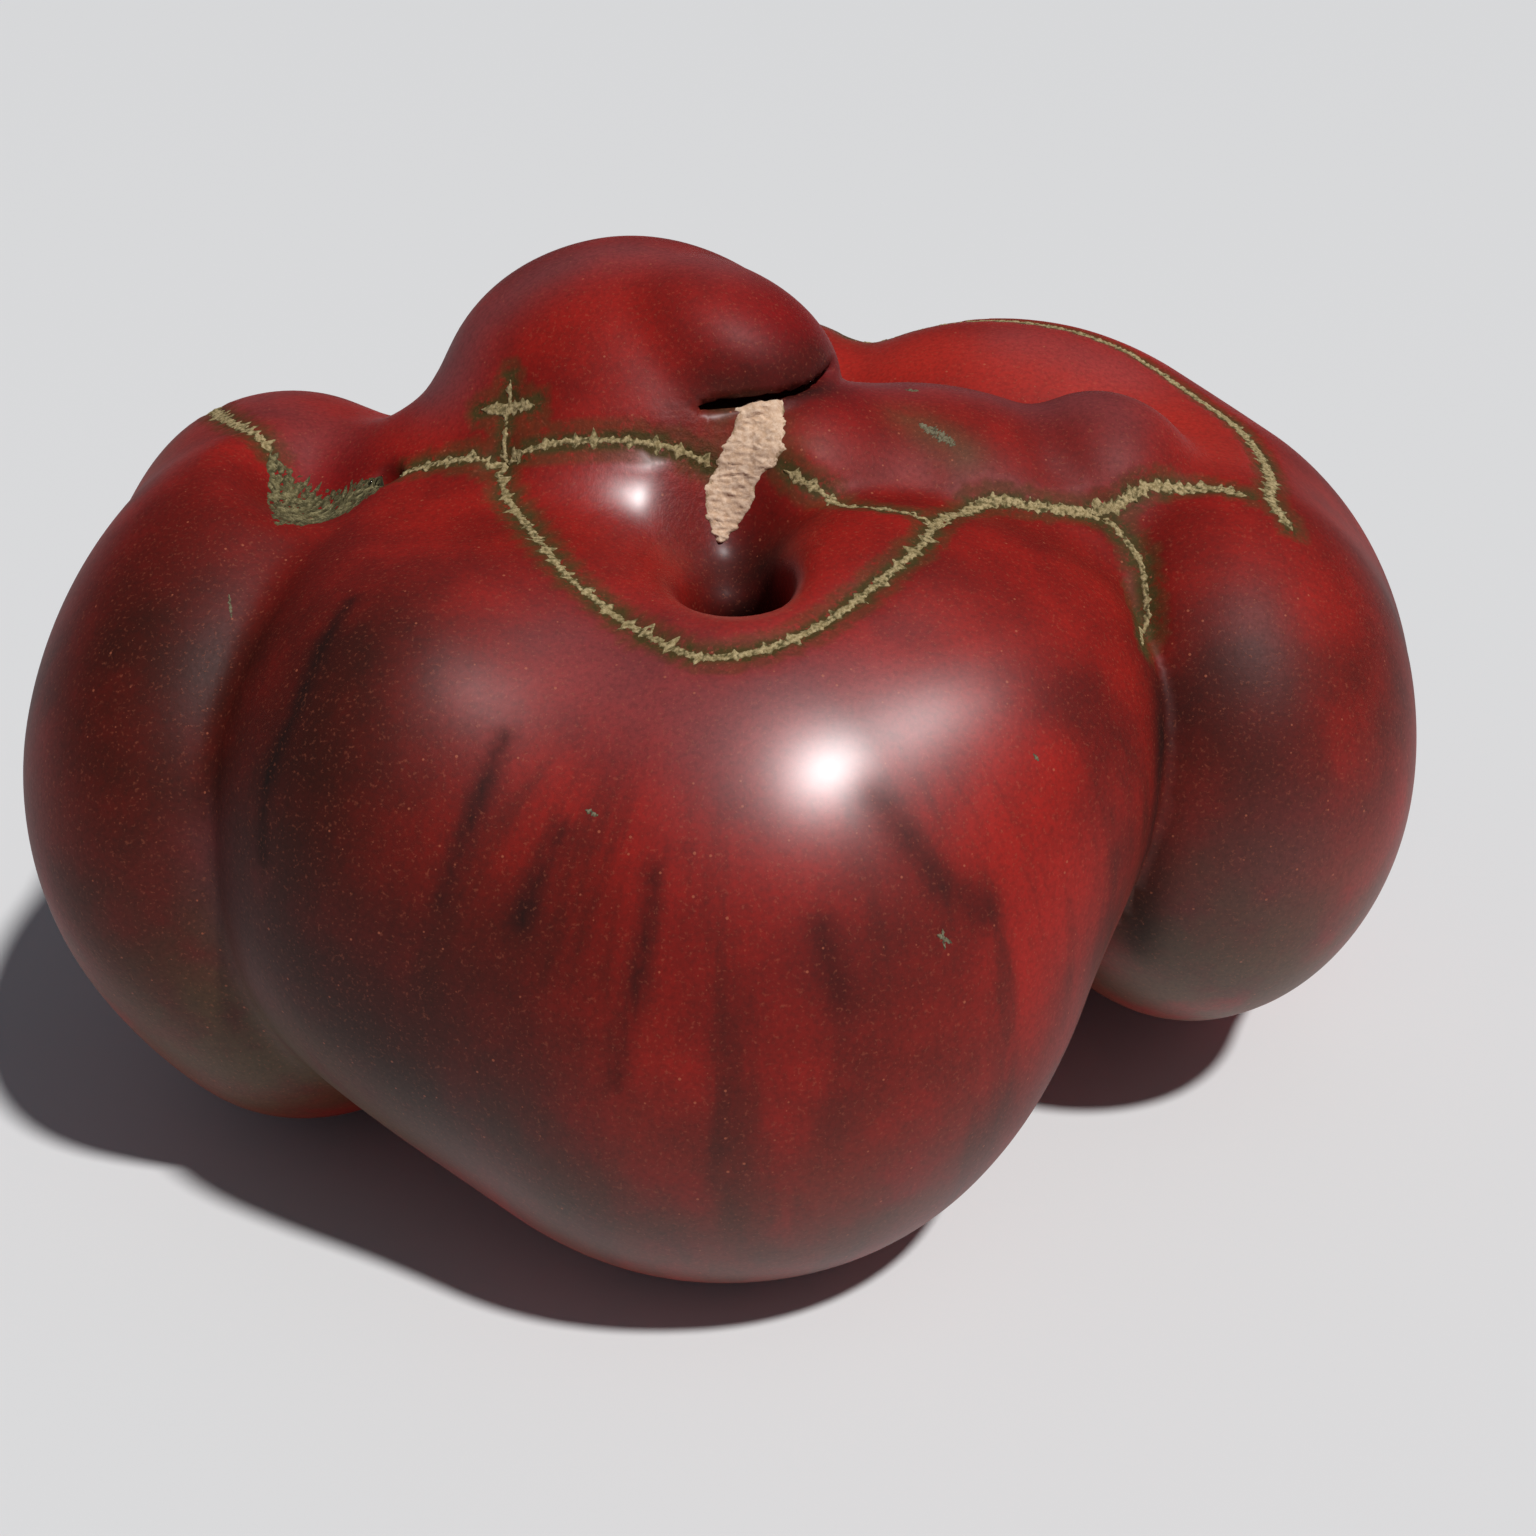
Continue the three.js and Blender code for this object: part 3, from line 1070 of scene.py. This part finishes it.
@dataclass(frozen=True)
class CorkFinish:
    """Dry scar cork: pale tan crests with olive-brown gaps, rough all over."""

    name: str
    pale: Colour = tint(184, 164, 122)
    mid: Colour = tint(134, 116, 76)
    gap: Colour = tint(74, 66, 34)
    grit: float = 0.35
    gap_share: float = 0.5

    def material(self) -> bpy.types.Material:
        """Makes the material."""
        bench = Bench(self.name)
        place = bench.place()
        crumbs = bench.grain(place, self.grit, 4, 0.7)
        patch = bench.grain(place, 2.4, 3)
        crest = bench.layer("crest")
        colour = bench.mix(crumbs.rise(0.35, 0.65), self.mid, self.pale)
        colour = bench.mix((crest + crumbs * 0.8 - 0.4).rise(self.gap_share, 0.0), colour, self.gap)
        colour = bench.mix(patch.rise(0.45, 0.75) * 0.4, colour, self.mid)
        bump = bench.node("ShaderNodeBump", {}, {"Strength": 0.7, "Distance": 0.12 * MM, "Height": crumbs})
        return bench.surface({
            "Base Color": colour,
            "Roughness": 0.85,
            "Normal": bump,
            "Specular IOR Level": 0.3,
        })


NETTED_FINISH = CorkFinish(
    "netted_cork", tint(150, 140, 102), tint(112, 102, 66), tint(52, 48, 24), grit=0.3, gap_share=0.75
)
TORN_FINISH = CorkFinish(
    "torn_scar", tint(228, 198, 172), tint(204, 168, 138), tint(132, 108, 78), grit=0.5, gap_share=0.3
)
STEM_FINISH = CorkFinish(
    "stem_scar", tint(176, 150, 108), tint(128, 100, 64), tint(70, 54, 30), grit=0.4, gap_share=0.5
)
SCAB_FINISH = CorkFinish(
    "scabs", tint(128, 122, 100), tint(104, 92, 66), tint(60, 58, 44), grit=0.3, gap_share=0.4
)


# ----------------------------------------------------------------------------------------- pieces


def mesh_piece(
    name: str, points: np.ndarray, faces: list, layers: dict[str, np.ndarray]
) -> bpy.types.Object:
    """Makes an object of a mesh given in millimetres.

    Args:
        name: The piece's name.
        points: Rows of places, in millimetres.
        faces: Rows of point numbers.
        layers: Numbers for each point, by the layer's name.

    Returns:
        The object, in the scene, with smooth faces.
    """
    mesh = bpy.data.meshes.new(name)
    mesh.from_pydata((points * MM).tolist(), [], faces)
    mesh.shade_smooth()
    for layer, values in layers.items():
        made = mesh.attributes.new(layer, "FLOAT", "POINT")
        made.data.foreach_set("value", np.asarray(values, np.float32))
    piece = bpy.data.objects.new(name, mesh)
    bpy.context.scene.collection.objects.link(piece)
    return piece


class Ground:
    """The finished skin as something that other pieces lie on."""

    def __init__(self, piece: bpy.types.Object) -> None:
        """Reads the skin.

        Args:
            piece: The skin, in metres.
        """
        mesh = piece.data
        count = len(mesh.vertices)
        self.points = np.empty(count * 3)
        mesh.vertices.foreach_get("co", self.points)
        self.points = self.points.reshape(-1, 3) / MM
        self.normals = np.empty(count * 3)
        mesh.vertices.foreach_get("normal", self.normals)
        self.normals = self.normals.reshape(-1, 3)
        self.faces = [tuple(face.vertices) for face in mesh.polygons]
        self.tree = BVHTree.FromPolygons(self.points.tolist(), self.faces)

    def find(self, place: np.ndarray) -> tuple[np.ndarray, np.ndarray]:
        """Finds the skin's nearest point.

        Args:
            place: A point, in millimetres.

        Returns:
            The nearest point and the way that the skin faces there.
        """
        spot, _, face, _ = self.tree.find_nearest(Vector(place))
        corners = list(self.faces[face])
        gaps = np.linalg.norm(self.points[corners] - np.array(spot), axis=1)
        normal = (self.normals[corners] / (gaps[:, None] + 0.05)).sum(0)
        return np.array(spot), normal / np.linalg.norm(normal)


@dataclass
class Skin:
    """The whole fruit's skin, swollen from its lobes, with furrows pressed in along the seams."""

    flesh: Flesh = field(default_factory=Flesh)
    seams: tuple[Seam, ...] = SEAMS
    strokes: tuple[Stroke, ...] = STROKES
    cell: float = 0.84
    waviness: float = 0.3
    wave: float = 17.0
    furrow_width: float = 1.1
    halo_width: float = 1.15
    flat: float = 1.2

    def build(self) -> bpy.types.Object:
        """Makes the skin in the solid's place.

        Returns:
            The skin, dressed.
        """
        net = Net(self.flesh, self.cell)
        points, outward = net.points, unit(self.flesh.slope(net.points))
        points = points + outward * self._waves(points)[:, None]
        low, high = (np.array(corner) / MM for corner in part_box(SOLID))
        shift = (low + high) / 2 - (points.min(0) + points.max(0)) / 2
        shift[2] = low[2] - self.flat
        points = points + shift
        LOG.info("skin laid over the flesh, moved %s mm to the solid's place", np.round(shift, 2))
        gaps = [Route(seam.points, 0.5).distance(points, 8) for seam in self.seams]
        for seam, gap in zip(self.seams, gaps):
            press = seam.furrow * np.exp(-((gap / self.furrow_width) ** 2))
            points = points - outward * press[:, None]
        points[:, 2] = np.maximum(points[:, 2], 0)
        piece = mesh_piece("fruit_skin", points, net.faces.tolist(), self._layers(points, gaps))
        piece.data.materials.append(SkinFinish().material())
        return piece

    def _waves(self, points: np.ndarray) -> np.ndarray:
        """The skin's gentle unevenness.

        Args:
            points: Rows of places, in millimetres.

        Returns:
            How far each point stands out, in millimetres.
        """
        spots = points / self.wave
        return self.waviness * np.array([noise.noise(spot) for spot in spots.tolist()])

    def _layers(self, points: np.ndarray, gaps: list[np.ndarray]) -> dict[str, np.ndarray]:
        """Paints the layers: the stains, the painted shade and the painted sheen.

        Args:
            points: The skin's points, in millimetres.
            gaps: Each point's distance from each seam.

        Returns:
            A layer of numbers from 0 to 1 for each kind of stroke.
        """
        layers = {layer_kind.value: np.zeros(len(points)) for layer_kind in StainAndPaintedLight}
        for stroke in self.strokes:
            gap = Route(stroke.points, 0.8).distance(points, 3 * stroke.width)
            mark = stroke.strength * np.exp(-((gap / stroke.width) ** 2))
            layer = layers[stroke.layer_kind.value]
            layer += mark * (1 - layer)
        layers["halo"] = np.exp(-((np.min(gaps, axis=0) / self.halo_width) ** 3))
        layers["streaky"] = (0.4 + 0.6 * ramp(-points[:, 1], 4, 24)) * ramp(62 - points[:, 2], 0, 10)
        return layers


class Band:
    """A closed ribbon of scar that lies on the skin, as points, faces and layers of numbers."""

    ROOT = 0.3
    TUCK = 0.08
    LOWEST = 0.02

    def __init__(
        self, rails: np.ndarray, lanes: int, rise: float, relief: float, grain: np.ndarray, ground: Ground
    ) -> None:
        """Lays the ribbon.

        Args:
            rails: The two edges, as an array of 2 by stations by 3, in millimetres.
            lanes: How many points there are across it.
            rise: How far its middle stands out.
            relief: How much of that is crumbs.
            grain: The size of the crumbs along each axis.
            ground: The skin that it lies on.
        """
        stations, around = rails.shape[1], 2 * lanes - 2
        points, crest = np.empty((stations, around, 3)), np.zeros((stations, around))
        shares = np.linspace(0, 1, lanes)
        for row in range(stations):
            for lane, share in enumerate(shares):
                spot, normal = ground.find(rails[0, row] * (1 - share) + rails[1, row] * share)
                arch = (4 * share * (1 - share)) ** 0.6
                crumb = noise.fractal(Vector(spot / grain), 1.0, 2.0, 3)
                level = arch * (1 - relief + relief * crumb)
                points[row, lane] = spot + normal * (rise * level - self.TUCK * (1 - arch))
                crest[row, lane] = level
                if 0 < lane < lanes - 1:
                    points[row, around - lane] = spot - normal * self.ROOT
        self.points = points.reshape(-1, 3)
        self.points[:, 2] = np.maximum(self.points[:, 2], self.LOWEST)
        self.crest = np.clip(crest, 0, 1).ravel()
        self.faces = self._tube(stations, around)

    @staticmethod
    def _tube(stations: int, around: int) -> np.ndarray:
        """The faces of a tube with closed ends.

        Args:
            stations: How many rings it has.
            around: How many points a ring has, an even number.

        Returns:
            Rows of three point numbers.
        """
        ring, step = np.meshgrid(np.arange(stations - 1), np.arange(around), indexing="ij")
        here, beside = ring * around + step, ring * around + (step + 1) % around
        lower = np.stack([here, here + around, beside + around], axis=-1).reshape(-1, 3)
        upper = np.stack([here, beside + around, beside], axis=-1).reshape(-1, 3)
        cap = []
        for k in range(around // 2):
            near, far = (around - k) % around, (around - k - 1) % around
            cap += [row for row in ([k, k + 1, far], [k, far, near]) if len(set(row)) == 3]
        cap = np.array(cap)
        return np.vstack([lower, upper, cap, cap[:, ::-1] + (stations - 1) * around])


def banded_piece(name: str, bands: list[Band], material: bpy.types.Material) -> bpy.types.Object:
    """Makes one piece of some bands.

    Args:
        name: The piece's name.
        bands: What it is made of.
        material: Its material.

    Returns:
        The piece.
    """
    starts = np.cumsum([0] + [len(band.points) for band in bands])
    faces = np.vstack([band.faces + start for band, start in zip(bands, starts)])
    points = np.vstack([band.points for band in bands])
    crest = np.concatenate([band.crest for band in bands])
    piece = mesh_piece(name, points, faces.tolist(), {"crest": crest})
    piece.data.materials.append(material)
    return piece


@dataclass
class SeamCork:
    """The cork that stands in the seams, one ragged band along each."""

    seams: tuple[Seam, ...] = SEAMS
    step: float = 0.12
    lanes: int = 9
    grain: float = 0.4

    def build(self, ground: Ground) -> bpy.types.Object:
        """Makes every band.

        Args:
            ground: The skin that the bands lie on.

        Returns:
            The bands as one piece, dressed.
        """
        rng = np.random.default_rng(7)
        bands = [self._band(seam, ground, rng) for seam in self.seams]
        return banded_piece("seam_cork", bands, CorkFinish("seam_cork").material())

    def _band(self, seam: Seam, ground: Ground, rng: np.random.Generator) -> Band:
        """Makes the band of one seam.

        Args:
            seam: The seam to fill.
            ground: The skin.
            rng: Where the chances come from.

        Returns:
            The band.
        """
        route = Route(seam.points, self.step)
        found = [ground.find(place) for place in route.places]
        middles = smoothed(np.array([spot for spot, _ in found]), 5)
        normals = smoothed(np.array([normal for _, normal in found]), 15)
        sideways = unit(np.cross(normals, np.gradient(middles, axis=0)))
        left, right = seam.half_widths(route.along, rng)
        rails = np.stack([middles - sideways * left[:, None], middles + sideways * right[:, None]])
        return Band(rails, self.lanes, seam.crest, 0.6, np.full(3, self.grain), ground)


@dataclass
class Scars:
    """The broad scars: netted cork, the torn strip under the crown, the stem's mark and scabs."""

    step: float = 0.2
    fine_step: float = 0.1
    crumb: float = 0.55
    scab_crumb: float = 0.3
    scab_rise: float = 0.18
    scab_lanes: int = 9

    def build(self, plate: Plate, material: bpy.types.Material, ground: Ground) -> bpy.types.Object:
        """Makes the piece of one plate.

        Args:
            plate: The plate's edges and how rough it is.
            material: Its finish.
            ground: The skin.

        Returns:
            The piece.
        """
        rng = np.random.default_rng(len(plate.name))
        edges = [Route(points, self.fine_step) for points in (plate.first, plate.second)]
        count = round(max(edge.along[-1] for edge in edges) / self.step)
        share = np.linspace(0, 1, count)
        rails = np.stack([self._at(edge, share) for edge in edges])
        across = unit(rails[0] - rails[1])
        for rail, way in enumerate((across, -across)):
            jag = np.abs(rng.normal(0, 1, count)) ** 1.5 * (rng.random(count) < 0.6)
            rails[rail] += way * (plate.ragged * smoothed(jag[:, None], 3))
        grain = self.crumb * np.array(plate.grain)
        band = Band(rails, plate.lanes, plate.rise, plate.relief, grain, ground)
        return banded_piece(plate.name, [band], material)

    def scabs(self, ground: Ground) -> bpy.types.Object:
        """Makes the small dry marks that are scattered over the skin.

        Args:
            ground: The skin.

        Returns:
            The marks as one piece.
        """
        rng = np.random.default_rng(3)
        bands = []
        for start, end, width in SCABS:
            route = Route([start, end], self.fine_step)
            along = route.along / route.along[-1]
            oval = np.sqrt(4 * along * (1 - along) + 0.02)
            ragged = rng.uniform(0.5, 1.2, (2, len(along))) * width * oval
            side = unit(np.cross(np.array(end) - np.array(start), ground.find(np.array(start))[1]))
            sides = zip((-1, 1), ragged)
            rails = np.stack([route.places + side * (way * jag)[:, None] for way, jag in sides])
            crumbs = np.full(3, self.scab_crumb)
            bands.append(Band(rails, self.scab_lanes, self.scab_rise, 0.7, crumbs, ground))
        return banded_piece("scabs", bands, SCAB_FINISH.material())

    @staticmethod
    def _at(route: Route, share: np.ndarray) -> np.ndarray:
        """Reads places on a route.

        Args:
            route: The route.
            share: How far along it, from 0 to 1.

        Returns:
            A place for each share.
        """
        run = share * route.along[-1]
        return np.stack([np.interp(run, route.along, route.places[:, k]) for k in range(3)], axis=1)


# ----------------------------------------------------------------------------------------- studio


@dataclass
class Studio:
    """A plain pale floor, soft studio light and the camera. Sizes are in metres and degrees."""

    elevation: float = 30.0
    distance: float = 0.215
    lens: float = 50.0
    aim: Point = (0.00065, -0.0057, 0.036)
    key_from: Point = (0.357, -0.349, 0.872)
    key_spread: float = 4.0
    key_strength: float = 3.05
    sky: Colour = (0.82, 0.87, 1.0, 1.0)
    sky_strength: float = 0.11
    floor_reach: float = 6.0
    floor_colour: Colour = tint(226, 226, 226)

    def build(self) -> None:
        """Makes the floor, the lights and the camera."""
        self._floor()
        self._key()
        world = bpy.data.worlds.new("sky")
        world.use_nodes = True
        back = world.node_tree.nodes["Background"]
        back.inputs["Color"].default_value = self.sky
        back.inputs["Strength"].default_value = self.sky_strength
        bpy.context.scene.world = world
        self._camera()

    def _floor(self) -> None:
        """Makes the floor."""
        r = self.floor_reach
        mesh = bpy.data.meshes.new("floor")
        mesh.from_pydata([(-r, -r, 0), (r, -r, 0), (r, r, 0), (-r, r, 0)], [], [(0, 1, 2, 3)])
        floor = bpy.data.objects.new("floor", mesh)
        bench = Bench("floor")
        floor.data.materials.append(bench.surface({"Base Color": self.floor_colour, "Roughness": 0.8}))
        bpy.context.scene.collection.objects.link(floor)

    def _key(self) -> None:
        """Makes the main lamp, wide enough for a soft edge to the shadows."""
        lamp = bpy.data.lights.new("key", "SUN")
        lamp.angle = math.radians(self.key_spread)
        lamp.energy = self.key_strength
        holder = bpy.data.objects.new("key", lamp)
        holder.rotation_euler = Vector(self.key_from).to_track_quat("Z", "Y").to_euler()
        bpy.context.scene.collection.objects.link(holder)

    def _camera(self) -> None:
        """Makes the camera."""
        camera = bpy.data.objects.new("camera", bpy.data.cameras.new("camera"))
        camera.data.lens = self.lens
        camera.data.clip_start = 0.01
        tilt = math.radians(self.elevation)
        back = Vector((0, -math.cos(tilt), math.sin(tilt)))
        camera.location = Vector(self.aim) + back * self.distance
        camera.rotation_euler = (-back).to_track_quat("-Z", "Y").to_euler()
        bpy.context.scene.collection.objects.link(camera)
        bpy.context.scene.camera = camera


def main() -> None:
    """Builds the fruit's pieces in order, and the studio round it."""
    logging.basicConfig(level=logging.INFO, format="%(name)s: %(message)s")
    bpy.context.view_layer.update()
    Studio().build()
    skin = Skin().build()
    LOG.info("%s has %d points", skin.name, len(skin.data.vertices))
    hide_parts(SOLID)
    ground = Ground(skin)
    scars = Scars()
    pieces = (
        SeamCork().build(ground),
        scars.build(NETTED, NETTED_FINISH.material(), ground),
        scars.build(TORN, TORN_FINISH.material(), ground),
        scars.build(STEM_SCAR, STEM_FINISH.material(), ground),
        scars.scabs(ground),
    )
    for piece in pieces:
        LOG.info("%s has %d points", piece.name, len(piece.data.vertices))
        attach(piece, BODY)
    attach(skin, BODY)
    bpy.context.scene.view_settings.view_transform = "Standard"


if __name__ == "__main__":
    main()
